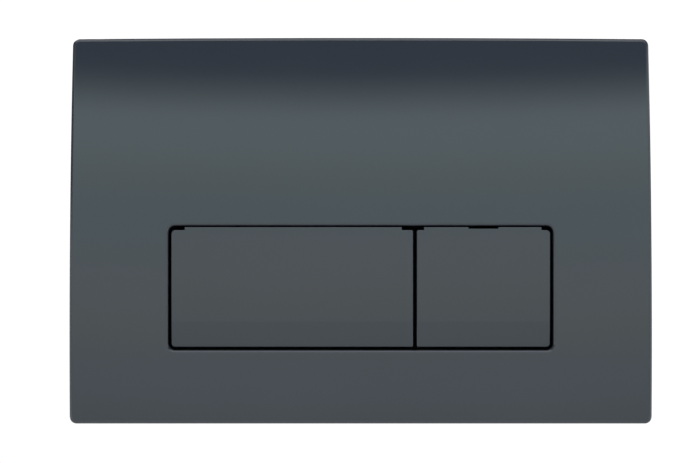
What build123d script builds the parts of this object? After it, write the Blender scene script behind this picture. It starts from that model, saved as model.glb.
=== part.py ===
from build123d import *
import math
import os

# Dual flush button plate. Millimetres. +Z is up, the face looks towards -Y and the wall plane is y = 0.
# The origin lies on the wall plane, at the middle of the plate's outline.

# Face plate: a hollow moulding whose face is one shallow cylinder with its axis along X
plate_width = 246.0
plate_height = 164.0
plate_depth = 14.0  # wall plane to the most forward line of the face
top_edge_depth = 3.3  # how far the face stands off the wall at its top edge
bulge_height = 36.1  # most forward line of the face, above the bottom edge
top_edge_rise = 0.55  # the top edge is crowned by this much between its ends
plate_corner_radius = 2.9
plate_edge_round = 1.4
plate_wall = 2.4
rim_wall = 2.0

# Opening for the two buttons
opening_width = 162.6
opening_height = 52.45
opening_rise = 31.15  # lower edge of the opening, above the bottom edge of the plate
opening_corner_radius = 2.9
opening_edge_round = 1.2

# Gaps around the buttons, and the places where the buttons' outlines step
side_gap = 1.25
bottom_gap = 1.22
top_gap = 0.5
divider_gap = 1.58
divider_offset = 22.93  # middle of the gap between the buttons, right of the middle of the plate
lip_step = 1.25  # the top corners stand this much lower than the lip between them
full_lip_insets = (5.6, 4.7)  # left and right
half_lip_insets = (3.0, 3.6)
release_width = 12.7  # shallow slot in the lip of the half flush button, for prising it out
release_depth = 0.7

# Buttons: shells with the curve of the plate's face, which lean back a little from their upper edge and
# more along their lower edge
button_wall = 2.2
skirt_wall = 1.6
skirt_depth = 6.0  # behind the most forward line of the face
button_outer_radius = 1.55
button_inner_radius = 0.6
button_edge_round = 0.45
button_lean = 1.7
rake_height = 11.2  # height of the lower strip
rake_angle = 2.6  # further lean of the lower strip
rake_blend = 15.0
button_rib_wall = 1.2
button_rib_spread = 24.0  # between the two ribs beside the presser
button_rib_depth = 5.0  # behind the most forward line of the face

# Hinges of the buttons
hinge_depth = 7.0  # behind the most forward line of the face
hinge_drop = 7.5  # below the upper edge of the opening
pin_radius = 1.25
pin_running_clearance = 0.05
pin_holding_clearance = 0.02
lug_radius = 2.8
ear_inset = 4.0
ear_wall = 2.5
bracket_lug_wall = 3.0
lug_side_gap = 0.4
pin_overhang = 0.6
pin_chamfer = 0.3

# Stops: ledges of the carrier, with rubber pads, which the upper skirts of the buttons rest on
stop_inset = 12.0  # from the side of the button
stop_wall = 2.6
stop_pad_width = 8.0
stop_pad_thickness = 0.8
stop_pad_margin = 0.3
stop_gap = 0.3

# Push rods, their caps, springs, guides and clips
rod_drop = 34.0  # below the hinge line
rod_radius = 3.5
rod_length = 72.0
rod_tip_radius = 2.75
rod_tip_length = 10.0
rod_chamfer = 0.6
presser_radius = 4.5
presser_gap = 0.3
cap_radius = 7.0
cap_length = 8.0
cap_front_wall = 2.0
cap_chamfer = 0.8
spring_length = 14.0
spring_radius = 5.2  # to the middle of the wire
spring_wire_radius = 0.6
spring_pitch = 2.5
spring_end_gap = 0.1
guide_flange_radius = 7.0
guide_flange_wall = 2.0
guide_sleeve_radius = 5.0
guide_sleeve_overhang = 2.0  # behind the bracket
guide_fit = 0.05
clip_radius = 5.4
clip_wall = 0.8
clip_mouth = 4.0
clip_groove_depth = 0.8
clip_side_gap = 0.05
clip_end_gap = 0.3
rod_holding_clearance = 0.02

# Rod brackets: a bridge behind each button, screwed to the carrier
bridge_inner_width = 24.0
bridge_height = 16.0
bridge_wall = 2.4
bridge_back_wall = 3.0
bridge_foot_length = 8.0
bridge_edge_round = 1.0

# Button carrier: the dark tray behind the opening
well_clearance = 2.6  # around the opening
well_wall = 1.6
well_front_gap = 0.3  # behind the plate
floor_wall = 2.0
floor_back = 2.0  # behind the wall plane
rod_hole_clearance = 1.5
floor_rib_wall = 1.2
floor_rib_height = 1.4
floor_rib_margin = 5.0  # inside the edge of the floor
floor_rib_gap = 3.0  # above the rod brackets
floor_rib_count = 9
ear_spread = 60.0
ear_reach = 3.6
carrier_ear_radius = 3.8
carrier_ear_wall = 2.0
carrier_ear_back = 2.5  # in front of the wall plane
plate_boss_radius = 3.5
plate_boss_floor = 0.6

# Self-tapping screws
screw_radius = 1.45
screw_clearance = 0.05
screw_hole_clearance = 0.15
screw_head_radius = 2.75
screw_head_height = 1.6
screw_head_round = 0.6
screw_recess_width = 0.8
screw_recess_length = 3.4
screw_recess_depth = 1.0
floor_boss_radius = 3.0
floor_boss_height = 3.0
screw_tip_gap = 1.0

# Mounting frame, its seal, and the clips of the plate that hold on to it
seal_thickness = 1.5
seal_width = 3.5
seal_margin = 0.5
frame_wall = 3.2
frame_side_bar = 20.0
frame_side_shift = 0.75  # the side bars stand this much nearer the rim than the carrier
frame_bottom_gap = 2.0
frame_top_bar = 19.5
frame_corner_radius = 5.0
window_end_gap = 1.3
window_corner_radius = 4.0
hook_spread = 140.0
hook_width = 10.0
hook_wall = 2.4
hook_lip = 1.2
hook_lip_wall = 1.1
hook_drop = 6.0  # top of the hook's arm, below the top of the frame
snap_wall = 1.6
snap_rise = 7.2  # underside of the snap arm, above the bottom of the frame
hook_side_clearance = 0.5
hook_end_clearance = 0.4
hook_back_clearance = 0.1
pocket_depth = 1.6
pocket_wall = 2.5
pocket_length = 20.0
pocket_stud_gap = 10.0  # above and below a stud

# Ribs inside the plate, above the frame
plate_rib_wall = 1.2
plate_rib_places = (-95.0, -40.0, 40.0, 95.0)
plate_rib_back = 0.8  # in front of the wall plane
plate_rib_gap = 3.0  # above the frame

# Wall studs with their washers and nuts
stud_radius = 4.0
stud_length = 60.0  # behind the wall plane
stud_neck_radius = 3.0
stud_flange_radius = 6.5
stud_flange_wall = 2.0
stud_proud = 0.4  # in front of the nut
stud_chamfer = 0.8
stud_neck_chamfer = 0.4
stud_drop = 13.0  # below the middle of the plate
stud_slot_clearance = 0.3
stud_slot_length = 11.0
washer_radius = 7.5
washer_hole_clearance = 0.2
washer_wall = 1.0
nut_radius = 7.0
nut_wall = 2.6
nut_grips = 14
nut_grip_radius = 0.8

# Amount by which joined shapes reach into each other, room that cutting shapes need outside the part,
# and the least height of an edge that isn't level
root = 0.5
beyond = 40.0
level = 0.05

# Places worked out from the sizes above
plate_top = plate_height / 2
plate_bottom = -plate_height / 2
face_front = -plate_depth
bulge_z = plate_bottom + bulge_height
face_rise = plate_height - bulge_height
face_fall = plate_depth - top_edge_depth
face_radius = (face_rise**2 + face_fall**2) / (2 * face_fall)
face_centre_y = face_front + face_radius

opening_low = plate_bottom + opening_rise
opening_high = opening_low + opening_height
opening_middle = (opening_low + opening_high) / 2

button_low = opening_low + bottom_gap
button_high = opening_high - top_gap
shoulder_high = button_high - lip_step
full_left = -opening_width / 2 + side_gap
full_right = divider_offset - divider_gap / 2
half_left = divider_offset + divider_gap / 2
half_right = opening_width / 2 - side_gap
skirt_back = face_front + skirt_depth

hinge_y = face_front + hinge_depth
hinge_z = opening_high - hinge_drop
rod_z = hinge_z - rod_drop

stop_low = shoulder_high - skirt_wall
stop_high = stop_low + stop_wall
stop_front = skirt_back + stop_gap + stop_pad_thickness
stop_width = stop_pad_width + 2 * stop_pad_margin

cap_front = hinge_y + presser_radius + presser_gap
cap_back = cap_front + cap_length
rod_front = cap_front + cap_front_wall
guide_front = cap_back + spring_length
bridge_back_front = guide_front + guide_flange_wall
bridge_back = bridge_back_front + bridge_back_wall
guide_back = bridge_back + guide_sleeve_overhang
clip_front = guide_back + clip_end_gap
clip_back = clip_front + clip_wall
rod_back = rod_front + rod_length

floor_front = floor_back - floor_wall
well_half_width = opening_width / 2 + well_clearance + well_wall
well_low = opening_low - well_clearance - well_wall
well_high = opening_high + well_clearance + well_wall
carrier_ear_rear = -carrier_ear_back
carrier_ear_front = carrier_ear_rear - carrier_ear_wall
ear_low = well_low - ear_reach
ear_high = well_high + ear_reach
bridge_screw_offset = bridge_inner_width / 2 + bridge_wall + bridge_foot_length / 2
foot_back = floor_back + bridge_wall
floor_boss_front = floor_front - floor_boss_height

frame_back = -seal_thickness
frame_front = frame_back - frame_wall
side_bar_middle = (well_half_width + plate_width / 2 - rim_wall) / 2 + frame_side_shift
window_half_width = side_bar_middle - frame_side_bar / 2
frame_half_width = side_bar_middle + frame_side_bar / 2
window_low = ear_low - carrier_ear_radius - window_end_gap
window_high = ear_high + carrier_ear_radius + window_end_gap
frame_low = plate_bottom + rim_wall + frame_bottom_gap
frame_high = window_high + frame_top_bar
hook_arm_high = frame_high - hook_drop
hook_arm_low = hook_arm_high - hook_wall
snap_arm_low = frame_low + snap_rise
snap_arm_high = snap_arm_low + snap_wall
lip_front = frame_back + hook_back_clearance
lip_back = lip_front + hook_lip_wall

stud_x = side_bar_middle
stud_z = -stud_drop
washer_front = frame_front - washer_wall
nut_front = washer_front - nut_wall
stud_front = nut_front - stud_proud
flange_back = frame_back + stud_flange_wall


# Simple shapes
def block(left, right, front, back, low, high):
    middle = ((left + right) / 2, (front + back) / 2, (low + high) / 2)
    return Pos(*middle) * Box(right - left, back - front, high - low)


def y_bar(x, z, radius, front, back):
    return Pos(x, (front + back) / 2, z) * Rot(90, 0, 0) * Cylinder(radius, back - front)


def x_bar(y, z, radius, left, right):
    return Pos((left + right) / 2, y, z) * Rot(0, 90, 0) * Cylinder(radius, right - left)


def front_prism(sketch, front, back):
    """The solid of a front-view sketch, in X and Z, between two depths."""
    return extrude(Plane.XZ.offset(-back) * sketch, amount=back - front, dir=(0, -1, 0))


def side_prism(sketch, left, right):
    """The solid of a side-view sketch, in Y and Z, between two places along X."""
    return extrude(Plane.YZ.offset(left) * sketch, amount=right - left, dir=(1, 0, 0))


def centred_rectangle(half_width, low, high, radius):
    return Pos(0, (low + high) / 2) * RectangleRounded(2 * half_width, high - low, radius)


# Side views of the face
def face_y(height, inset=0.0):
    """Depth, at a height, of the face or of a surface inset behind it."""
    return face_centre_y - math.sqrt((face_radius - inset) ** 2 - (height - bulge_z) ** 2)


def behind_face(inset):
    """All that lies behind the face by more than the inset."""
    low = plate_bottom - beyond
    high = plate_top + beyond
    low_point = (face_y(low, inset), low)
    high_point = (face_y(high, inset), high)
    front = ThreePointArc(low_point, (face_y(bulge_z, inset), bulge_z), high_point)
    rest = Polyline(high_point, (beyond, high), (beyond, low), low_point)
    return side_prism(make_face(front + rest), -plate_width, plate_width)


def behind_button_face(inset):
    """The same for a button, whose face leans back from its upper edge and more along its lower edge."""
    high = plate_top
    bend_z = button_low + rake_height
    bend_lean = math.asin((bend_z - bulge_z) / face_radius)
    blend_y = face_y(bend_z) + rake_blend * math.cos(bend_lean)
    blend_z = bend_z - rake_blend * math.sin(bend_lean)

    def blend_point(turn):
        lean = bend_lean - math.radians(turn)
        reach = rake_blend - inset
        return (blend_y - reach * math.cos(lean), blend_z + reach * math.sin(lean))

    bend = blend_point(0)
    blend_end = blend_point(rake_angle)
    lean = bend_lean - math.radians(rake_angle)
    foot = (blend_end[0] - beyond * math.sin(lean), blend_end[1] - beyond * math.cos(lean))
    top = (face_y(high, inset), high)
    middle_z = (high + bend_z) / 2
    face = ThreePointArc(top, (face_y(middle_z, inset), middle_z), bend)
    blend = ThreePointArc(bend, blend_point(rake_angle / 2), blend_end)
    rest = Polyline(blend_end, foot, (beyond, foot[1]), (beyond, high), top)
    upright = side_prism(make_face(face + blend + rest), -plate_width, plate_width)
    upper_edge = Axis((0, face_y(button_high), button_high), (1, 0, 0))
    return upright.rotate(upper_edge, button_lean)


# Front views
def plate_outline(inset):
    half = plate_width / 2 - inset
    low = plate_bottom + inset
    high = plate_top - inset
    shoulder = high - top_edge_rise
    top = ThreePointArc((half, shoulder), (0, high), (-half, shoulder))
    rest = Polyline((-half, shoulder), (-half, low), (half, low), (half, shoulder))
    outline = make_face(top + rest)
    return fillet(outline.vertices(), plate_corner_radius - inset)


def opening_outline(grow):
    low = opening_low - grow
    high = opening_high + grow
    return centred_rectangle(opening_width / 2 + grow, low, high, opening_corner_radius + grow)


def button_outline(left, right, lip_insets, outer_x):
    """A button's outline: its lip is higher than its top corners, and its corners match the opening's."""
    lip_left = left + lip_insets[0]
    lip_right = right - lip_insets[1]
    outline = make_face(
        Polyline(
            (left, button_low),
            (right, button_low),
            (right, shoulder_high),
            (lip_right, shoulder_high),
            (lip_right, button_high),
            (lip_left, button_high),
            (lip_left, shoulder_high),
            (left, shoulder_high),
            close=True,
        )
    )
    inner_x = right if outer_x == left else left
    at_outer = [v for v in outline.vertices() if abs(v.X - outer_x) < root]
    outline = fillet(at_outer, button_outer_radius)
    at_inner = [v for v in outline.vertices() if abs(v.X - inner_x) < root]
    return fillet(at_inner, button_inner_radius)


# Face plate
def widest_curved_face(body):
    return body.faces().filter_by(GeomType.CYLINDER).sort_by(SortBy.AREA)[-1]


def make_face_plate():
    body = front_prism(plate_outline(0), face_front - root, 0) & behind_face(0)
    body -= front_prism(opening_outline(0), face_front - root, root)
    body = fillet(widest_curved_face(body).outer_wire().edges(), plate_edge_round)
    body = fillet(widest_curved_face(body).inner_wires()[0].edges(), opening_edge_round)
    inside = plate_outline(rim_wall)
    body -= front_prism(inside, face_front, root) & behind_face(plate_wall)

    # bosses for the carrier's screws
    rooted = behind_face(plate_wall - root)
    for x, z in carrier_screw_places():
        wall = face_y(z, plate_wall)
        body += y_bar(x, z, plate_boss_radius, face_front, carrier_ear_front) & rooted
        hole_radius = screw_radius + screw_clearance
        body -= y_bar(x, z, hole_radius, wall + plate_boss_floor, carrier_ear_front)

    # ribs between the frame and the top rim
    for x in plate_rib_places:
        rib = block(
            x - plate_rib_wall / 2,
            x + plate_rib_wall / 2,
            face_front,
            -plate_rib_back,
            frame_high + plate_rib_gap,
            plate_top - rim_wall,
        )
        body += rib & rooted

    # hooks above and snap arms below, which reach through the frame
    for x in (-hook_spread / 2, hook_spread / 2):
        left = x - hook_width / 2
        right = x + hook_width / 2
        hook = block(left, right, face_front, lip_back, hook_arm_low, hook_arm_high)
        hook += block(left, right, lip_front, lip_back, hook_arm_low, hook_arm_high + hook_lip)
        snap = block(left, right, face_front, lip_back, snap_arm_low, snap_arm_high)
        snap += block(left, right, lip_front, lip_back, snap_arm_low - hook_lip, snap_arm_high)
        body += (hook + snap) & rooted
    return body


# Buttons
def make_button(left, right, lip_insets, outer_x, release=False):
    middle = (left + right) / 2
    outline = button_outline(left, right, lip_insets, outer_x)
    body = front_prism(outline, face_front - root, skirt_back) & behind_button_face(0)
    front_edges = [e for e in body.edges() if e.bounding_box().max.Y < skirt_back - root]
    seams = (button_low + skirt_wall, shoulder_high - skirt_wall)
    rim_edges = [e for e in front_edges if not is_seam(e, seams)]
    body = fillet(rim_edges, button_edge_round)
    if release:
        half = release_width / 2
        slot_ends = (button_high - release_depth, button_high)
        body -= block(middle - half, middle + half, face_front, skirt_back, *slot_ends)

    hollow = block(
        left + skirt_wall,
        right - skirt_wall,
        face_front,
        skirt_back,
        button_low + skirt_wall,
        shoulder_high - skirt_wall,
    )
    body -= hollow & behind_button_face(button_wall)

    rooted = behind_button_face(button_wall - root)
    for x in ear_places(left, right):
        ear = x_bar(hinge_y, hinge_z, lug_radius, x, x + ear_wall)
        stem_low = hinge_z - lug_radius
        ear += block(x, x + ear_wall, face_front, hinge_y, stem_low, hinge_z + lug_radius)
        ear -= x_bar(hinge_y, hinge_z, pin_radius + pin_running_clearance, x, x + ear_wall)
        body += ear & rooted

    presser = y_bar(middle, rod_z, presser_radius, face_front, hinge_y)
    presser += Pos(middle, hinge_y, rod_z) * Sphere(presser_radius)
    for x in (middle - button_rib_spread / 2, middle + button_rib_spread / 2):
        presser += block(
            x - button_rib_wall / 2,
            x + button_rib_wall / 2,
            face_front,
            face_front + button_rib_depth,
            button_low + skirt_wall - root,
            hinge_z - lug_radius,
        )
    return body + (presser & rooted)


def is_seam(edge, between):
    """Whether an edge runs along X between the lower and upper edges of a button's face."""
    box = edge.bounding_box()
    return box.size.Z < level and between[0] < box.center().Z < between[1]


def ear_places(left, right):
    """Left side of each of a button's two hinge ears."""
    return (left + ear_inset, right - ear_inset - ear_wall)


def stop_sides(left, right):
    """Left and right side of each of the two ledges behind a button."""
    first = left + stop_inset
    second = right - stop_inset
    return ((first, first + stop_width), (second - stop_width, second))


def make_stop_pads(left, right):
    pads = []
    for start, end in stop_sides(left, right):
        sides = (start + stop_pad_margin, end - stop_pad_margin)
        ends = (stop_low + stop_pad_margin, stop_high - stop_pad_margin)
        pads.append(block(*sides, stop_front - stop_pad_thickness, stop_front, *ends))
    return group(pads)


def make_hinge_pin(left, right):
    start, end = pin_ends(left, right)
    pin = x_bar(hinge_y, hinge_z, pin_radius, start, end)
    return chamfer(pin.edges().filter_by(GeomType.CIRCLE), pin_chamfer)


def pin_ends(left, right):
    return left + ear_inset - pin_overhang, right - ear_inset + pin_overhang


# Button carrier
def carrier_screw_places():
    return [(x, z) for z in (ear_low, ear_high) for x in (-ear_spread, 0, ear_spread)]


def make_carrier():
    outer = opening_outline(well_clearance + well_wall)
    body = front_prism(outer, face_front, floor_back)
    body -= front_prism(opening_outline(well_clearance), face_front - root, floor_front)
    body = body & behind_face(plate_wall + well_front_gap)

    for x, z in carrier_screw_places():
        inward = well_wall / 2 + ear_reach
        low, high = (z, z + inward) if z < opening_middle else (z - inward, z)
        ear = y_bar(x, z, carrier_ear_radius, carrier_ear_front, carrier_ear_rear)
        sides = (x - carrier_ear_radius, x + carrier_ear_radius)
        ear += block(*sides, carrier_ear_front, carrier_ear_rear, low, high)
        hole_radius = screw_radius + screw_hole_clearance
        ear -= y_bar(x, z, hole_radius, carrier_ear_front, carrier_ear_rear)
        body += ear

    for left, right in button_sides():
        first, second = ear_places(left, right)
        lug_lefts = (first + ear_wall + lug_side_gap, second - lug_side_gap - bracket_lug_wall)
        for x in lug_lefts:
            sides = (x, x + bracket_lug_wall)
            lug = x_bar(hinge_y, hinge_z, lug_radius, *sides)
            ends = (hinge_z - lug_radius, hinge_z + lug_radius)
            lug += block(*sides, hinge_y, floor_front + root, *ends)
            lug -= x_bar(hinge_y, hinge_z, pin_radius + pin_holding_clearance, *sides)
            body += lug
        for sides in stop_sides(left, right):
            body += block(*sides, stop_front, floor_front + root, stop_low, stop_high)
        middle = (left + right) / 2
        for x, z in bridge_screw_places(middle):
            body += y_bar(x, z, floor_boss_radius, floor_boss_front, floor_front + root)
            hole_radius = screw_radius + screw_clearance
            body -= y_bar(x, z, hole_radius, floor_boss_front, floor_back)
        body -= y_bar(middle, rod_z, cap_radius + rod_hole_clearance, floor_front, floor_back)
    return body + floor_ribs()


def floor_ribs():
    """A lattice of ribs on the back of the floor, above the rod brackets."""
    half = well_half_width - floor_rib_margin
    low = rod_z + bridge_height / 2 + floor_rib_gap
    high = well_high - floor_rib_margin
    depths = (floor_back - root, floor_back + floor_rib_height)
    step = (2 * half - floor_rib_wall) / (floor_rib_count - 1)
    ribs = []
    for index in range(floor_rib_count):
        left = -half + index * step
        ribs.append(block(left, left + floor_rib_wall, *depths, low, high))
    for start in (low, (low + high - floor_rib_wall) / 2, high - floor_rib_wall):
        ribs.append(block(-half, half, *depths, start, start + floor_rib_wall))
    return ribs


def button_sides():
    return ((full_left, full_right), (half_left, half_right))


# Screws, driven from behind
def make_screw(x, z, seat, tip):
    head_back = seat + screw_head_height
    head = y_bar(x, z, screw_head_radius, seat, head_back)
    rim = head.edges().filter_by(GeomType.CIRCLE).sort_by(Axis.Y)[-1]
    head = fillet(rim, screw_head_round)
    long = screw_recess_length / 2
    short = screw_recess_width / 2
    recess_front = head_back - screw_recess_depth
    head -= block(x - long, x + long, recess_front, head_back, z - short, z + short)
    head -= block(x - short, x + short, recess_front, head_back, z - long, z + long)
    return head + y_bar(x, z, screw_radius, tip, seat)


def make_carrier_screws():
    screws = []
    for x, z in carrier_screw_places():
        tip = face_y(z, plate_wall) + plate_boss_floor + screw_tip_gap
        screws.append(make_screw(x, z, carrier_ear_rear, tip))
    return group(screws)


def bridge_screw_places(middle):
    return [(middle + side * bridge_screw_offset, rod_z) for side in (-1, 1)]


def make_bracket_screws():
    screws = []
    for left, right in button_sides():
        for x, z in bridge_screw_places((left + right) / 2):
            screws.append(make_screw(x, z, foot_back, floor_boss_front + screw_tip_gap))
    return group(screws)


def group(shapes):
    return Compound([solid for shape in shapes for solid in shape.solids()])


# Push rods and what rides on them
def make_push_rod(x):
    shank_back = rod_back - rod_tip_length
    rod = y_bar(x, rod_z, rod_radius, rod_front, shank_back)
    tip = y_bar(x, rod_z, rod_tip_radius, shank_back, rod_back)
    rod += chamfer(tip.edges().filter_by(GeomType.CIRCLE).sort_by(Axis.Y)[-1], rod_chamfer)
    groove_ends = (clip_front - clip_side_gap, clip_back + clip_side_gap)
    groove = y_bar(x, rod_z, rod_radius + root, *groove_ends)
    groove -= y_bar(x, rod_z, rod_radius - clip_groove_depth, *groove_ends)
    return rod - groove


def make_rod_cap(x):
    cap = y_bar(x, rod_z, cap_radius, cap_front, cap_back)
    cap = chamfer(cap.edges().filter_by(GeomType.CIRCLE), cap_chamfer)
    return cap - y_bar(x, rod_z, rod_radius + rod_holding_clearance, rod_front, cap_back)


def make_spring(x):
    start = cap_back + spring_end_gap + spring_wire_radius
    end = guide_front - spring_end_gap - spring_wire_radius
    path = Helix(spring_pitch, end - start, spring_radius, (x, start, rod_z), (0, 1, 0))
    section = Plane(origin=path @ 0, z_dir=path % 0) * Circle(spring_wire_radius)
    return sweep(section, path=path, is_frenet=True)


def make_rod_guide(x):
    guide = y_bar(x, rod_z, guide_flange_radius, guide_front, bridge_back_front)
    guide += y_bar(x, rod_z, guide_sleeve_radius, bridge_back_front, guide_back)
    return guide - y_bar(x, rod_z, rod_radius + guide_fit, guide_front, guide_back)


def make_rod_clip(x):
    groove_radius = rod_radius - clip_groove_depth
    ring = Circle(clip_radius) - Circle(groove_radius + rod_holding_clearance)
    ring -= Pos(0, -clip_radius / 2) * Rectangle(clip_mouth, clip_radius)
    return front_prism(Pos(x, rod_z) * ring, clip_front, clip_back)


def make_rod_bracket(x):
    half = bridge_inner_width / 2
    outer = half + bridge_wall
    low = rod_z - bridge_height / 2
    high = rod_z + bridge_height / 2
    body = block(x - outer, x + outer, floor_back, bridge_back, low, high)
    body = fillet(body.edges().filter_by(Axis.Z).sort_by(Axis.Y)[-2:], bridge_edge_round)
    body -= block(x - half, x + half, floor_back, bridge_back_front, low, high)
    for side in (-1, 1):
        foot_ends = sorted((x + side * half, x + side * (outer + bridge_foot_length)))
        foot = block(*foot_ends, floor_back, foot_back, low, high)
        outside = foot.edges().filter_by(Axis.Y).sort_by(Axis.X)
        body += fillet(outside[-2:] if side > 0 else outside[:2], bridge_edge_round)
    for screw_x, screw_z in bridge_screw_places(x):
        body -= y_bar(screw_x, screw_z, screw_radius + screw_hole_clearance, floor_back, foot_back)
    hole_radius = guide_sleeve_radius + rod_holding_clearance
    return body - y_bar(x, rod_z, hole_radius, bridge_back_front, bridge_back)


# Mounting frame and seal
def frame_outline(inset):
    half = frame_half_width - inset
    low = frame_low + inset
    high = frame_high - inset
    return centred_rectangle(half, low, high, frame_corner_radius - inset)


def make_frame():
    window = centred_rectangle(window_half_width, window_low, window_high, window_corner_radius)
    body = front_prism(frame_outline(0) - window, frame_front, frame_back)
    for x in (-stud_x, stud_x):
        width = 2 * (stud_neck_radius + stud_slot_clearance)
        slot = Pos(x, stud_z) * Rot(0, 0, 90) * SlotOverall(stud_slot_length, width)
        body -= front_prism(slot, frame_front, frame_back)
    for x in (-hook_spread / 2, hook_spread / 2):
        half = hook_width / 2 + hook_side_clearance
        depths = (frame_front, frame_back)
        travel = hook_lip + 2 * hook_end_clearance
        hook_slot = (hook_arm_low - travel, hook_arm_high + hook_end_clearance)
        snap_slot = (snap_arm_low - hook_end_clearance, snap_arm_high + travel)
        body -= block(x - half, x + half, *depths, *hook_slot)
        body -= block(x - half, x + half, *depths, *snap_slot)
    return body - frame_pockets()


def pocket_spans(start, end):
    """Equal spans between two places, with webs between them."""
    count = max(1, int((end - start + pocket_wall) // (pocket_length + pocket_wall)))
    step = (end - start + pocket_wall) / count
    return [(start + i * step, start + (i + 1) * step - pocket_wall) for i in range(count)]


def frame_pockets():
    """Shallow pockets in the back of the top and side bars, which leave stiffening webs."""
    depths = (frame_back - pocket_depth, frame_back)
    seal_inset = seal_margin + seal_width + pocket_wall
    low = window_high + pocket_wall
    high = frame_high - seal_inset
    reach = hook_spread / 2 - hook_width / 2 - hook_side_clearance - pocket_wall
    pockets = [block(*span, *depths, low, high) for span in pocket_spans(-reach, reach)]
    near = window_half_width + pocket_wall
    far = frame_half_width - seal_inset
    spans = pocket_spans(window_low, stud_z - pocket_stud_gap)
    spans += pocket_spans(stud_z + pocket_stud_gap, high)
    for sides in ((-far, -near), (near, far)):
        pockets += [block(*sides, *depths, *span) for span in spans]
    return pockets


def make_seal():
    ring = frame_outline(seal_margin) - frame_outline(seal_margin + seal_width)
    return front_prism(ring, frame_back, 0)


# Wall studs
def make_stud(x):
    stud = y_bar(x, stud_z, stud_radius, flange_back, stud_length)
    stud = chamfer(stud.edges().filter_by(GeomType.CIRCLE).sort_by(Axis.Y)[-1], stud_chamfer)
    neck = y_bar(x, stud_z, stud_neck_radius, stud_front, frame_back)
    stud += chamfer(neck.edges().filter_by(GeomType.CIRCLE).sort_by(Axis.Y)[0], stud_neck_chamfer)
    hexagon = Pos(x, stud_z) * Rot(0, 0, 90) * RegularPolygon(stud_flange_radius, 6)
    return stud + front_prism(hexagon, frame_back, flange_back)


def make_stud_washers():
    ring = Circle(washer_radius) - Circle(stud_neck_radius + washer_hole_clearance)
    places = [Pos(x, stud_z) for x in (-stud_x, stud_x)]
    return group([front_prism(place * ring, washer_front, frame_front) for place in places])


def make_stud_nut(x):
    outline = Circle(nut_radius) - Circle(stud_neck_radius + rod_holding_clearance)
    outline -= [place * Circle(nut_grip_radius) for place in PolarLocations(nut_radius, nut_grips)]
    return front_prism(Pos(x, stud_z) * outline, nut_front, washer_front)


full_sides = (full_left, full_right)
half_sides = (half_left, half_right)

nodes = {
    "face_plate": make_face_plate(),
    "full_flush_button": make_button(*full_sides, full_lip_insets, full_left),
    "half_flush_button": make_button(*half_sides, half_lip_insets, half_right, release=True),
    "button_carrier": make_carrier(),
    "carrier_screws": make_carrier_screws(),
    "bracket_screws": make_bracket_screws(),
    "mounting_frame": make_frame(),
    "frame_seal": make_seal(),
    "stud_washers": make_stud_washers(),
}
for name, (left, right) in (("full_flush", full_sides), ("half_flush", half_sides)):
    middle = (left + right) / 2
    nodes[name + "_hinge_pin"] = make_hinge_pin(left, right)
    nodes[name + "_stop_pads"] = make_stop_pads(left, right)
    nodes[name + "_push_rod"] = make_push_rod(middle)
    nodes[name + "_rod_cap"] = make_rod_cap(middle)
    nodes[name + "_return_spring"] = make_spring(middle)
    nodes[name + "_rod_guide"] = make_rod_guide(middle)
    nodes[name + "_rod_clip"] = make_rod_clip(middle)
    nodes[name + "_rod_bracket"] = make_rod_bracket(middle)
for name, x in (("left", -stud_x), ("right", stud_x)):
    nodes[name + "_wall_stud"] = make_stud(x)
    nodes[name + "_stud_nut"] = make_stud_nut(x)

os.makedirs("parts", exist_ok=True)
for name, shape in nodes.items():
    export_step(shape, f"parts/{name}.step")
print(f"wrote {len(nodes)} parts, face radius {face_radius:.1f}")
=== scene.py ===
import math

import bpy
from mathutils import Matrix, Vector


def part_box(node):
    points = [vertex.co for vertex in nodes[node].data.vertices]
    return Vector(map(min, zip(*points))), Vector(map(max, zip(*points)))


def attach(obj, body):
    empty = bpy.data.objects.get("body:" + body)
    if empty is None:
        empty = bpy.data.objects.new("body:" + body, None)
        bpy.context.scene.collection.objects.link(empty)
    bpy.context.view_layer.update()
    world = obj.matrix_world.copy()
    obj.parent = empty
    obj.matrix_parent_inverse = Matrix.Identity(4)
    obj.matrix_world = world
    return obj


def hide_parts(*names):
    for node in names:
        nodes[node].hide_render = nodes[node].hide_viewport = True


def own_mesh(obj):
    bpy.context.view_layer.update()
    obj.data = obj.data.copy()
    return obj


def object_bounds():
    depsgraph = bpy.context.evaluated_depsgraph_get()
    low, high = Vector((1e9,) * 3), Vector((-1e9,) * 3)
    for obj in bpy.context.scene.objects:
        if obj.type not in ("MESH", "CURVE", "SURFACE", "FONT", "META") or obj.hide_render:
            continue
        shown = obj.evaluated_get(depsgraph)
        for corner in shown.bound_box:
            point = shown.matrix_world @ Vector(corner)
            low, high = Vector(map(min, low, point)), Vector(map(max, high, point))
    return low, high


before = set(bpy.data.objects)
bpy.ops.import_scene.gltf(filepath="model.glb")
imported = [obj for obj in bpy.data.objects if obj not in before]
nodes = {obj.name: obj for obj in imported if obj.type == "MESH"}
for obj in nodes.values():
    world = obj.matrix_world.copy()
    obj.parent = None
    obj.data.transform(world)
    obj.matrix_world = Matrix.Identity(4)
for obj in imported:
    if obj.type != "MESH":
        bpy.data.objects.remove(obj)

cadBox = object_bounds()
scene = bpy.context.scene
mm = 0.001
print("frame loaded with", len(nodes), "nodes")


# Node and material helpers
def hexColour(text):  # sRGB hex to linear
    parts = [int(text[i:i + 2], 16) / 255 for i in (1, 3, 5)]
    linear = [c / 12.92 if c <= 0.04045 else ((c + 0.055) / 1.055) ** 2.4 for c in parts]
    return (*linear, 1.0)


def addNode(tree, kind, settings=(), links=()):  # lower-case settings are options, others are sockets
    node = tree.nodes.new(kind)
    for name, value in dict(settings).items():
        if str(name)[0].islower():
            setattr(node, name, value)
        else:
            node.inputs[name].default_value = value
    for name, source in dict(links).items():
        tree.links.new(source, node.inputs[name])
    return node


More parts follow.
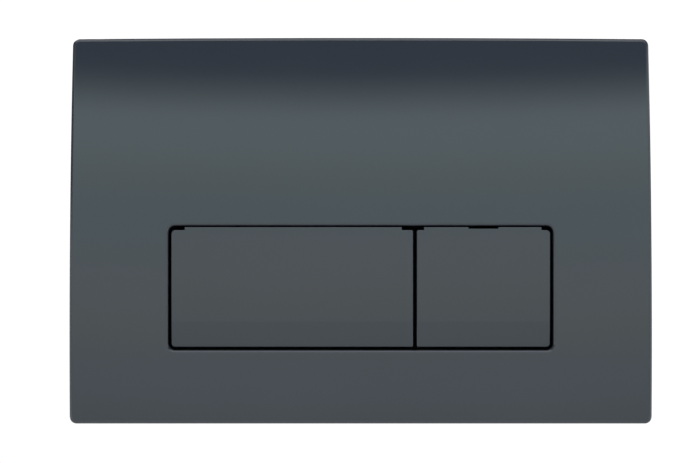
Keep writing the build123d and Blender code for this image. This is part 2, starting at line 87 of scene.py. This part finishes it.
def setRamp(node, stops):  # stops are (place, colour)
    ramp = node.color_ramp
    while len(ramp.elements) < len(stops):
        ramp.elements.new(1.0)
    for element, (place, colour) in zip(ramp.elements, stops):
        element.position = place
        element.color = colour
    return node


def newMaterial(name, shaderSettings):
    material = bpy.data.materials.new(name)
    material.use_nodes = True
    tree = material.node_tree
    shader = tree.nodes["Principled BSDF"]
    for socket, value in shaderSettings.items():
        shader.inputs[socket].default_value = value
    place = addNode(tree, "ShaderNodeTexCoord").outputs["Object"]
    return material, tree, shader, place


grainNoise = {"Detail": 3.0, "Roughness": 0.55}
tintNoise = {"Detail": 2.0}


def addGrain(tree, shader, place, grain):  # moulded or rolled grain: one noise drives bump and roughness
    fine = {"Scale": 1 / (grain["size"] * mm), **grainNoise}
    noise = addNode(tree, "ShaderNodeTexNoise", fine, {"Vector": place})
    bump = addNode(
        tree,
        "ShaderNodeBump",
        {"Strength": grain["strength"], "Distance": grain["depth"] * mm},
        {"Height": noise.outputs["Fac"]},
    )
    spread = addNode(
        tree,
        "ShaderNodeMapRange",
        {"To Min": grain["roughness"][0], "To Max": grain["roughness"][1]},
        {"Value": noise.outputs["Fac"]},
    )
    tree.links.new(bump.outputs["Normal"], shader.inputs["Normal"])
    tree.links.new(spread.outputs["Result"], shader.inputs["Roughness"])


def addTint(tree, shader, place, tint):  # slow drift of colour over the surface
    wide = {"Scale": 1 / (tint["size"] * mm), **tintNoise}
    noise = addNode(tree, "ShaderNodeTexNoise", wide, {"Vector": place})
    ramp = addNode(tree, "ShaderNodeValToRGB", (), {"Fac": noise.outputs["Fac"]})
    lowest, highest = 0.3, 0.7  # the noise seldom leaves this range
    setRamp(ramp, [(lowest, hexColour(tint["low"])), (highest, hexColour(tint["high"]))])
    tree.links.new(ramp.outputs["Color"], shader.inputs["Base Color"])


def addInside(tree, shader, place, inside):  # a second finish on what faces a given way, within given limits; it paints shade onto the walls seen through the gaps
    normal = addNode(tree, "ShaderNodeTexCoord").outputs["Normal"]
    facing = addNode(tree, "ShaderNodeSeparateXYZ", (), {"Vector": normal}).outputs["Y"]
    limits = {"From Min": inside["facing"][0], "From Max": inside["facing"][1]}
    mask = addNode(tree, "ShaderNodeMapRange", limits, {"Value": facing}).outputs["Result"]
    away = addNode(tree, "ShaderNodeVectorMath", {"operation": "ABSOLUTE"}, {0: place}).outputs[0]
    reach = addNode(tree, "ShaderNodeSeparateXYZ", (), {"Vector": away}).outputs
    for axis, limit in inside["within"].items():
        near = addNode(tree, "ShaderNodeMath", {"operation": "LESS_THAN", 1: limit * mm}, {0: reach[axis]})
        both = addNode(tree, "ShaderNodeMath", {"operation": "MULTIPLY"}, {0: mask, 1: near.outputs[0]})
        mask = both.outputs[0]
    for socket, value in inside["shader"].items():
        outer = shader.inputs[socket]
        kind = "RGBA" if outer.type == "RGBA" else "FLOAT"
        first, second, result = (6, 7, 2) if kind == "RGBA" else (2, 3, 0)  # socket numbers of a Mix node
        mix = addNode(tree, "ShaderNodeMix", {"data_type": kind, second: value}, {0: mask})
        if outer.is_linked:
            tree.links.new(outer.links[0].from_socket, mix.inputs[first])
        else:
            mix.inputs[first].default_value = outer.default_value
        tree.links.new(mix.outputs[result], outer)


def grainedMaterial(name, finish):
    material, tree, shader, place = newMaterial(name, finish["shader"])
    addGrain(tree, shader, place, finish["grain"])
    addTint(tree, shader, place, finish["tint"])
    if "inside" in finish:
        addInside(tree, shader, place, finish["inside"])
    return material


# Milky plastics let light spread a little way in
milky = {"Subsurface Radius": (1.0, 1.0, 0.9), "Subsurface Scale": 1.5 * mm}

# Finishes: sizes and depths of grain in millimetres; moulded grain is finer, and drawn this coarse to show
finishes = {
    # Coated ABS, satin: a cool dark grey whose gloss shows the softbox as one wide, soft-edged glow
    "satin_anthracite_abs": {
        "shader": {"IOR": 1.5},
        "grain": {"size": 0.7, "depth": 0.001, "strength": 0.15, "roughness": (0.07, 0.085)},
        "tint": {"size": 90, "low": "#2b3039", "high": "#2d323b"},
        "inside": {  # uncoated black behind the front and the outer rim; also painted shade, as it blackens the walls seen through the gaps
            "facing": (-0.3, -0.05),
            "within": {"X": 119.5, "Z": 78.5},
            "shader": {"Base Color": hexColour("#131517"), "Roughness": 0.7},
        },
    },
    # Spark-eroded black ABS: matt, so it falls away behind the gaps
    "matt_black_abs": {
        "shader": {"IOR": 1.53, "Specular IOR Level": 0.2},
        "grain": {"size": 0.5, "depth": 0.02, "strength": 0.5, "roughness": (0.48, 0.62)},
        "tint": {"size": 30, "low": "#121314", "high": "#18191a"},
        "inside": {  # painted shade: near-black in the tray and on all that does not face the wall, so that nothing shows through the gaps
            "facing": (0.5, 0.2),
            "within": {},
            "shader": {"Base Color": hexColour("#040405"), "Roughness": 0.9},
        },
    },
    # Moulded grey polypropylene: waxy, a little uneven in gloss
    "moulded_grey_polypropylene": {
        "shader": {"IOR": 1.49, **milky, "Subsurface Weight": 0.03},
        "grain": {"size": 0.9, "depth": 0.02, "strength": 0.35, "roughness": (0.36, 0.5)},
        "tint": {"size": 45, "low": "#7d8285", "high": "#888d90"},
    },
    # Acetal rod and bush: milky pale grey, smooth
    "pale_grey_acetal": {
        "shader": {"IOR": 1.48, **milky, "Subsurface Weight": 0.08},
        "grain": {"size": 1.2, "depth": 0.01, "strength": 0.25, "roughness": (0.26, 0.36)},
        "tint": {"size": 20, "low": "#b2b4b1", "high": "#bcbebb"},
    },
    # Zinc-plated steel: bright, bluish, with a fine crystalline bloom
    "zinc_plated_steel": {
        "shader": {"Metallic": 1.0},
        "grain": {"size": 0.35, "depth": 0.006, "strength": 0.4, "roughness": (0.24, 0.4)},
        "tint": {"size": 6, "low": "#aeb3b6", "high": "#c3c6c6"},
    },
    # Spring steel wire: drawn, grey, oiled
    "drawn_spring_steel": {
        "shader": {"Metallic": 1.0},
        "grain": {"size": 0.25, "depth": 0.004, "strength": 0.4, "roughness": (0.22, 0.36)},
        "tint": {"size": 4, "low": "#7f8487", "high": "#979b9d"},
    },
    # Black nylon: smooth, half gloss
    "black_nylon": {
        "shader": {"IOR": 1.53},
        "grain": {"size": 0.6, "depth": 0.012, "strength": 0.35, "roughness": (0.36, 0.48)},
        "tint": {"size": 15, "low": "#131415", "high": "#1b1c1d"},
    },
    # Closed-cell foam: dull black with open pores on its cut faces
    "black_cell_foam": {
        "shader": {"IOR": 1.45},
        "grain": {"size": 0.8, "depth": 0.25, "strength": 0.8, "roughness": (0.85, 0.95)},
        "tint": {"size": 3, "low": "#121212", "high": "#242424"},
    },
    # Soft rubber pads: dull, dark
    "black_rubber": {
        "shader": {"IOR": 1.52},
        "grain": {"size": 0.4, "depth": 0.03, "strength": 0.4, "roughness": (0.68, 0.8)},
        "tint": {"size": 5, "low": "#151515", "high": "#1d1d1d"},
    },
}
materials = {name: grainedMaterial(name, finish) for name, finish in finishes.items()}

nodeFinishes = {
    "satin_anthracite_abs": ["face_plate", "full_flush_button", "half_flush_button"],
    "matt_black_abs": ["button_carrier"],
    "moulded_grey_polypropylene": ["mounting_frame", "rod_cap", "rod_bracket"],
    "pale_grey_acetal": ["rod_guide"],
    "zinc_plated_steel": ["carrier_screws", "bracket_screws", "stud_washers", "hinge_pin"],
    "drawn_spring_steel": ["rod_clip"],
    "black_nylon": ["stud_nut"],
    "black_cell_foam": ["frame_seal"],
    "black_rubber": ["stop_pads"],
}
for finishName, endings in nodeFinishes.items():
    for nodeName, node in nodes.items():
        if nodeName.endswith(tuple(endings)):
            for slot in node.material_slots:
                slot.material = materials[finishName]
print("finishes given to the nodes:", len(materials))


# Modelling helpers
meshDetail = {
    "barSides": 48,
    "threadSteps": 24,  # round each turn
    "ridgeSunk": 0.1 * mm,  # how far a thread's ridge reaches into its bar
    "mergeDistance": 0.001 * mm,
    "sharpAngle": 30,
}


def clearSelection():
    if bpy.context.object and bpy.context.object.mode != "OBJECT":
        bpy.ops.object.mode_set(mode="OBJECT")
    bpy.ops.object.select_all(action="DESELECT")


def pick(piece):
    clearSelection()
    piece.select_set(True)
    bpy.context.view_layer.objects.active = piece


def applyModifier(piece, kind, settings):
    pick(piece)
    modifier = piece.modifiers.new(kind.lower(), kind)
    for name, value in settings.items():
        setattr(modifier, name, value)
    bpy.ops.object.modifier_apply(modifier=modifier.name)


def tidyMesh(piece, sharpAngle=meshDetail["sharpAngle"]):
    pick(piece)
    bpy.ops.object.mode_set(mode="EDIT")
    bpy.ops.mesh.select_all(action="SELECT")
    bpy.ops.mesh.remove_doubles(threshold=meshDetail["mergeDistance"])
    bpy.ops.mesh.normals_make_consistent(inside=False)
    bpy.ops.object.mode_set(mode="OBJECT")
    bpy.ops.object.shade_smooth_by_angle(angle=math.radians(sharpAngle))


def turnedBar(name, x, z, stations):  # a bar along Y, extruded ring by ring; stations are (y, radius)
    clearSelection()
    y, radius = stations[0]
    bpy.ops.mesh.primitive_circle_add(
        vertices=meshDetail["barSides"],
        radius=radius,
        fill_type="NGON",
        location=(x, y, z),
        rotation=(math.pi / 2, 0, 0),
    )
    bar = bpy.context.object
    bar.name = name
    bpy.ops.object.transform_apply(location=True, rotation=True, scale=True)
    bpy.ops.object.mode_set(mode="EDIT")
    bpy.ops.mesh.select_all(action="SELECT")
    for nextY, nextRadius in stations[1:]:
        bpy.ops.mesh.extrude_region_move(TRANSFORM_OT_translate={"value": (0, nextY - y, 0)})
        share = nextRadius / radius
        bpy.ops.transform.resize(value=(share, 1, share), center_override=(x, nextY, z))
        y, radius = nextY, nextRadius
    bpy.ops.object.mode_set(mode="OBJECT")
    return bar


def screwThread(name, x, z, thread, core, start, end):  # a helical ridge along Y, sunk a little into its bar
    clearSelection()
    bpy.ops.mesh.primitive_plane_add(size=1.0)
    ridge = bpy.context.object
    ridge.name = name
    rootRadius = core - meshDetail["ridgeSunk"]
    crestRadius = core + thread["depth"]
    rootHalf = thread["rootWidth"] / 2
    crestHalf = thread["crestWidth"] / 2
    corners = (
        (rootRadius, -rootHalf),
        (crestRadius, -crestHalf),
        (rootRadius, rootHalf),
        (crestRadius, crestHalf),
    )
    for vertex, (radius, rise) in zip(ridge.data.vertices, corners):
        vertex.co = (radius, 0, rise)
    bpy.ops.object.mode_set(mode="EDIT")
    bpy.ops.mesh.select_all(action="SELECT")
    bpy.ops.mesh.delete(type="ONLY_FACE")
    bpy.ops.object.mode_set(mode="OBJECT")
    turns = int((end - start - thread["rootWidth"]) / thread["pitch"])
    steps = meshDetail["threadSteps"]
    rounds = {"iterations": turns, "steps": steps, "render_steps": steps}
    applyModifier(ridge, "SCREW", {"axis": "Z", "screw_offset": thread["pitch"], **rounds})
    pick(ridge)
    bpy.ops.object.mode_set(mode="EDIT")
    bpy.ops.mesh.select_all(action="SELECT")
    bpy.ops.mesh.fill_holes(sides=len(corners))  # the ridge's two ends
    bpy.ops.object.mode_set(mode="OBJECT")
    ridge.rotation_euler = (-math.pi / 2, 0, 0)
    ridge.location = (x, start + rootHalf, z)
    bpy.ops.object.transform_apply(location=True, rotation=True, scale=True)
    tidyMesh(ridge)
    return ridge


def combine(piece, operation, others):  # the others are used up
    for other in others:
        applyModifier(piece, "BOOLEAN", {"operation": operation, "solver": "EXACT", "object": other})
        bpy.data.objects.remove(other)


def makePair(shape, names, sides, node):  # the first is modelled, and copied to the place of the second
    first = shape(names[0], sides[0])
    pick(first)
    bpy.ops.object.duplicate()
    second = bpy.context.object
    second.name = names[1]
    second.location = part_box(sides[1] + node)[0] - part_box(sides[0] + node)[0]
    bpy.ops.object.transform_apply(location=True, rotation=True, scale=True)
    return zip(sides, (first, second))


def finishPiece(piece, finishName, body, replaced):
    piece.data.materials.clear()
    piece.data.materials.append(materials[finishName])
    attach(piece, body)
    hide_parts(replaced)


# Return springs: closed and ground at both ends
springCoil = {
    "wireRadius": 0.6 * mm,
    "turns": 6.4,
    "closedTurns": 1.1,
    "closedGap": 0.024 * mm,  # between turns that are closed
    "easeTurns": 0.35,
    "groundDepth": 0.1 * mm,  # the wire's ends start this far outside the ground faces
    "stepsPerTurn": 32,
    "roundness": 3,  # Blender's bevel resolution of the wire
    "sharpAngle": 40,
}


def coilRises(length):  # how far the wire has climbed at each step
    steps = int(springCoil["turns"] * springCoil["stepsPerTurn"])
    stepTurn = 1 / springCoil["stepsPerTurn"]
    shares = []
    for step in range(steps):
        here = (step + 0.5) * stepTurn
        fromEnd = min(here, springCoil["turns"] - here) - springCoil["closedTurns"]
        share = min(max(fromEnd / springCoil["easeTurns"], 0), 1)
        shares.append(share * share * (3 - 2 * share))  # eases from closed to open
    closedPitch = 2 * springCoil["wireRadius"] + springCoil["closedGap"]
    addedPitch = (length - closedPitch * steps * stepTurn) / (sum(shares) * stepTurn)  # by an open turn
    rises = [0.0]
    for share in shares:
        rises.append(rises[-1] + (closedPitch + share * addedPitch) * stepTurn)
    return rises


def shapeSpring(name, side):
    low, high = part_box(side + "_return_spring")
    middle = (low + high) / 2
    coilRadius = (high.x - low.x) / 2 - springCoil["wireRadius"]
    start = low.y - springCoil["groundDepth"]
    rises = coilRises(high.y - low.y + 2 * springCoil["groundDepth"])
    clearSelection()
    bpy.ops.curve.primitive_nurbs_path_add()
    wire = bpy.context.object
    wire.name = name
    wire.data.splines.clear()
    line = wire.data.splines.new("POLY")
    line.points.add(len(rises) - 1)
    for step, (point, rise) in enumerate(zip(line.points, rises)):
        angle = 2 * math.pi * step / springCoil["stepsPerTurn"]
        x = middle.x + coilRadius * math.cos(angle)
        z = middle.z + coilRadius * math.sin(angle)
        point.co = (x, start + rise, z, 1)
    wire.data.dimensions = "3D"
    wire.data.bevel_depth = springCoil["wireRadius"]
    wire.data.bevel_resolution = springCoil["roundness"]
    wire.data.use_fill_caps = True
    pick(wire)
    bpy.ops.object.convert(target="MESH")
    tidyMesh(wire)
    roomRadius = coilRadius + 2 * springCoil["wireRadius"]
    room = turnedBar(name + "_room", middle.x, middle.z, [(low.y, roomRadius), (high.y, roomRadius)])
    tidyMesh(room)
    combine(wire, "INTERSECT", [room])  # grinds both ends flat
    tidyMesh(wire, springCoil["sharpAngle"])
    return wire


def squashSpring(wire):  # gives the spring its own mesh; the spring is not squashed here
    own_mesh(wire)


# Push rods: turned, grooved for the clip, with a coarse adjusting thread towards the tip
rodShape = {
    "grooveDepth": 0.8 * mm,
    "grooveGap": 0.05 * mm,
    "tipRadius": 2.75 * mm,
    "tipLength": 10.0 * mm,
    "tipChamfer": 0.6 * mm,
    "edge": 0.25 * mm,
    "threadGap": 5.0 * mm,  # plain length behind the clip
    "thread": {"pitch": 2.0 * mm, "depth": 0.55 * mm, "rootWidth": 1.6 * mm, "crestWidth": 0.7 * mm},
}


def shapeRod(name, side):
    low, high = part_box(side + "_push_rod")
    clipLow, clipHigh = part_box(side + "_rod_clip")
    middle = (low + high) / 2
    radius = (high.x - low.x) / 2
    core = radius - rodShape["thread"]["depth"]
    edge = rodShape["edge"]
    grooveStart = clipLow.y - rodShape["grooveGap"]
    grooveEnd = clipHigh.y + rodShape["grooveGap"]
    grooveRadius = radius - rodShape["grooveDepth"]
    threadStart = clipHigh.y + rodShape["threadGap"]
    shankEnd = high.y - rodShape["tipLength"]
    tip = rodShape["tipRadius"]
    chamfer = rodShape["tipChamfer"]
    stations = [
        (low.y, radius - edge),
        (low.y + edge, radius),
        (grooveStart, radius),
        (grooveStart, grooveRadius),
        (grooveEnd, grooveRadius),
        (grooveEnd, radius),
        (threadStart - edge, radius),
        (threadStart, core),
        (shankEnd - edge, core),
        (shankEnd, tip),
        (high.y - chamfer, tip),
        (high.y, tip - chamfer),
    ]
    rod = turnedBar(name, middle.x, middle.z, stations)
    tidyMesh(rod)
    ends = (threadStart, shankEnd - edge)
    ridge = screwThread(name + "_ridge", middle.x, middle.z, rodShape["thread"], core, *ends)
    combine(rod, "UNION", [ridge])
    tidyMesh(rod)
    return rod


# Wall studs: a hexagon collar between a short neck and a long metric thread
studShape = {
    "neckRadius": 3.0 * mm,
    "neckChamfer": 0.4 * mm,
    "collarFront": -1.5 * mm,
    "collarBack": 0.5 * mm,
    "collarSides": 6,
    "collarEdge": {"width": 0.35 * mm, "segments": 2, "limit_method": "ANGLE"},
    "shankRadius": 4.0 * mm,
    "thread": {"pitch": 1.25 * mm, "depth": 0.68 * mm, "rootWidth": 1.075 * mm, "crestWidth": 0.175 * mm},
    "runOut": 1.5 * mm,  # plain length behind the collar
    "runOutSlope": 0.3 * mm,
    "tipChamfer": 0.8 * mm,
}


def shapeStud(name, side):
    low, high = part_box(side + "_wall_stud")
    middle = (low + high) / 2
    neck = studShape["neckRadius"]
    neckChamfer = studShape["neckChamfer"]
    shank = studShape["shankRadius"]
    core = shank - studShape["thread"]["depth"]
    chamfer = studShape["tipChamfer"]
    collarMiddle = (studShape["collarFront"] + studShape["collarBack"]) / 2
    threadStart = studShape["collarBack"] + studShape["runOut"]
    stations = [
        (low.y, neck - neckChamfer),
        (low.y + neckChamfer, neck),
        (collarMiddle, neck),
        (collarMiddle, shank),
        (threadStart - studShape["runOutSlope"], shank),
        (threadStart, core),
        (high.y - chamfer, core),
        (high.y, core - chamfer),
    ]
    stud = turnedBar(name, middle.x, middle.z, stations)
    tidyMesh(stud)
    ends = (threadStart, high.y - chamfer)
    ridge = screwThread(name + "_ridge", middle.x, middle.z, studShape["thread"], core, *ends)
    clearSelection()
    bpy.ops.mesh.primitive_cylinder_add(
        vertices=studShape["collarSides"],
        radius=(high.z - low.z) / 2,
        depth=studShape["collarBack"] - studShape["collarFront"],
        location=(middle.x, collarMiddle, middle.z),
        rotation=(math.pi / 2, 0, 0),
    )
    collar = bpy.context.object
    bpy.ops.object.transform_apply(location=True, rotation=True, scale=True)
    applyModifier(collar, "BEVEL", studShape["collarEdge"])
    combine(stud, "UNION", [collar, ridge])
    tidyMesh(stud)
    return stud


flushSides = ("full_flush", "half_flush")
springNames = ("full_flush_spring_coil", "half_flush_spring_coil")
for side, spring in makePair(shapeSpring, springNames, flushSides, "_return_spring"):
    finishPiece(spring, "drawn_spring_steel", "plate", side + "_return_spring")
    squashSpring(spring)
print("return springs modelled")

rodNames = ("full_flush_threaded_rod", "half_flush_threaded_rod")
for side, rod in makePair(shapeRod, rodNames, flushSides, "_push_rod"):
    finishPiece(rod, "pale_grey_acetal", side.split("_")[0] + "_rod", side + "_push_rod")
print("push rods modelled")

studNames = ("left_threaded_stud", "right_threaded_stud")
for side, stud in makePair(shapeStud, studNames, ("left", "right"), "_wall_stud"):
    finishPiece(stud, "zinc_plated_steel", "plate", side + "_wall_stud")
print("wall studs modelled")


# Camera: straight on, with the plate just right of the image's middle
view = {
    "imageWidth": 697,
    "sensorWidth": 36.0,
    "focalPixels": 1998.4,
    "distance": 842.8 * mm,  # from the most forward line of the face
    "height": -0.78 * mm,
    "plateOffset": 12.2,  # pixels right of the image's middle
    "nearest": 10 * mm,
}
clearSelection()
bpy.ops.object.camera_add(
    location=(0, cadBox[0][1] - view["distance"], view["height"]), rotation=(math.pi / 2, 0, 0)
)
camera = bpy.context.object
camera.data.sensor_width = view["sensorWidth"]
camera.data.lens = view["sensorWidth"] * view["focalPixels"] / view["imageWidth"]
camera.data.shift_x = -view["plateOffset"] / view["imageWidth"]
camera.data.clip_start = view["nearest"]
camera.data.dof.use_dof = False
scene.camera = camera
scene.view_settings.view_transform = "Standard"
print("camera set")

# Front softbox: a tall panel behind the camera, brightest near its upper edge, which dips in the middle
softbox = {
    "distance": 1.6,
    "width": 2.6,
    "low": -0.45,
    "high": 0.95,
    "bow": 0.17,  # rise of the upper edge, per metre squared from the middle
    "stops": [
        (-0.45, (0.81, 0.83, 0.71)),
        (-0.36, (0.83, 0.88, 0.75)),
        (-0.30, (0.90, 1.01, 0.97)),
        (-0.20, (0.97, 1.04, 0.98)),
        (-0.13, (1.08, 1.13, 0.96)),
        (-0.05, (1.19, 1.24, 1.12)),
        (0.06, (1.16, 1.27, 1.20)),
        (0.16, (1.06, 1.35, 1.26)),
        (0.26, (1.06, 1.35, 1.30)),
        (0.34, (1.22, 1.45, 1.28)),
        (0.45, (1.39, 1.72, 1.63)),
        (0.545, (1.41, 1.71, 1.69)),
        (0.62, (0.66, 0.82, 0.70)),
        (0.69, (0.0, 0.0, 0.0)),
    ],
}


def lightPanel(name, settings):
    clearSelection()
    bpy.ops.mesh.primitive_plane_add(size=1.0, rotation=(math.pi / 2, 0, 0))
    panel = bpy.context.object
    panel.name = name
    height = settings["high"] - settings["low"]
    panel.scale = (settings["width"], height, 1)
    panel.location = (0, -settings["distance"], (settings["high"] + settings["low"]) / 2)
    bpy.ops.object.transform_apply(location=True, rotation=True, scale=True)
    material = bpy.data.materials.new(name)
    material.use_nodes = True
    tree = material.node_tree
    tree.nodes.clear()
    place = addNode(tree, "ShaderNodeTexCoord").outputs["Object"]
    axes = addNode(tree, "ShaderNodeSeparateXYZ", (), {"Vector": place}).outputs
    square = addNode(tree, "ShaderNodeMath", {"operation": "MULTIPLY"}, {0: axes["X"], 1: axes["X"]})
    bow = {"operation": "MULTIPLY_ADD", 1: -settings["bow"]}
    level = addNode(tree, "ShaderNodeMath", bow, {0: square.outputs[0], 2: axes["Z"]})
    share = addNode(
        tree,
        "ShaderNodeMapRange",
        {"From Min": settings["low"], "From Max": settings["high"]},
        {"Value": level.outputs[0]},
    )
    ramp = addNode(tree, "ShaderNodeValToRGB", (), {"Fac": share.outputs["Result"]})
    setRamp(ramp, [((z - settings["low"]) / height, (*colour, 1)) for z, colour in settings["stops"]])
    glow = addNode(tree, "ShaderNodeEmission", (), {"Color": ramp.outputs["Color"]})
    addNode(tree, "ShaderNodeOutputMaterial", (), {"Surface": glow.outputs[0]})
    panel.data.materials.append(material)
    panel.visible_camera = False


lightPanel("front_softbox", softbox)

# Soft area lights above, beside and behind the plate: watts, size, place and the point each one faces
areaLights = {
    "overhead": {"power": 19.0, "size": (1.8, 1.75), "place": (0.0, -0.9, 1.45), "aim": (0, 0, 0)},
    "left_side": {"power": 4.4, "size": (1.8, 0.6), "place": (-1.5, -0.55, -0.15), "aim": (0, -0.55, -0.15)},
    "right_side": {"power": 8.0, "size": (1.8, 1.1), "place": (1.5, -0.55, 0.1), "aim": (0, -0.55, 0.1)},
    "rear_left": {"power": 22.0, "size": (1.2, 1.0), "place": (-1.1, 1.25, 1.75), "aim": (0, 0.03, 0)},
    "rear_right": {"power": 8.0, "size": (1.2, 1.0), "place": (1.3, 1.5, 0.7), "aim": (0, 0.03, 0)},
}
for name, light in areaLights.items():
    toward = Vector(light["aim"]) - Vector(light["place"])
    clearSelection()
    bpy.ops.object.light_add(
        type="AREA", location=light["place"], rotation=toward.to_track_quat("-Z", "Y").to_euler()
    )
    lamp = bpy.context.object
    lamp.name = name
    lamp.data.shape = "RECTANGLE"
    lamp.data.size, lamp.data.size_y = light["size"]
    lamp.data.energy = light["power"]
    lamp.visible_camera = False

# Surroundings: white behind the plate, pale as fill, dim in reflections
surroundings = {"reflected": 0.12, "fill": 0.5, "seen": 1.05}
world = bpy.data.worlds.new("studio")
scene.world = world
world.use_nodes = True
tree = world.node_tree
tree.nodes.clear()
ray = addNode(tree, "ShaderNodeLightPath").outputs
dim = surroundings["reflected"]
asFill = {"operation": "MULTIPLY_ADD", 1: surroundings["fill"] - dim, 2: dim}
asSeen = {"operation": "MULTIPLY_ADD", 1: surroundings["seen"] - dim}
glow = addNode(tree, "ShaderNodeMath", asFill, {0: ray["Is Diffuse Ray"]})
glow = addNode(tree, "ShaderNodeMath", asSeen, {0: ray["Is Camera Ray"], 2: glow.outputs[0]})
sky = addNode(tree, "ShaderNodeBackground", {"Color": (1, 1, 1, 1)}, {"Strength": glow.outputs[0]})
addNode(tree, "ShaderNodeOutputWorld", (), {"Surface": sky.outputs[0]})

# Floor: pale, well below the plate, and glowing white towards its edge: painted light that fades it into the
# white backdrop
floorShape = {
    "radius": 2.5,
    "sides": 96,
    "height": -0.45,
    "colour": "#e9e9e7",
    "roughness": 0.8,
    "edgeGlow": (0.9, 2.0),  # metres from the middle over which the floor's painted glow grows
}
clearSelection()
bpy.ops.mesh.primitive_circle_add(
    vertices=floorShape["sides"],
    radius=floorShape["radius"],
    fill_type="NGON",
    location=(0, 0, floorShape["height"]),
)
floor = bpy.context.object
floor.name = "floor"
floorLook = {
    "Base Color": hexColour(floorShape["colour"]),
    "Roughness": floorShape["roughness"],
    "Emission Color": (1, 1, 1, 1),
}
floorMaterial, tree, shader, place = newMaterial("pale_floor", floorLook)
away = addNode(tree, "ShaderNodeVectorMath", {"operation": "LENGTH"}, {0: place})
fadeStart, fadeEnd = floorShape["edgeGlow"]
edgeGlow = addNode(
    tree,
    "ShaderNodeMapRange",
    {"interpolation_type": "SMOOTHSTEP", "From Min": fadeStart, "From Max": fadeEnd},
    {"Value": away.outputs["Value"]},
)
# painted light: the floor glows more towards its edge
tree.links.new(edgeGlow.outputs["Result"], shader.inputs["Emission Strength"])
floor.data.materials.append(floorMaterial)
print("lights and floor set")
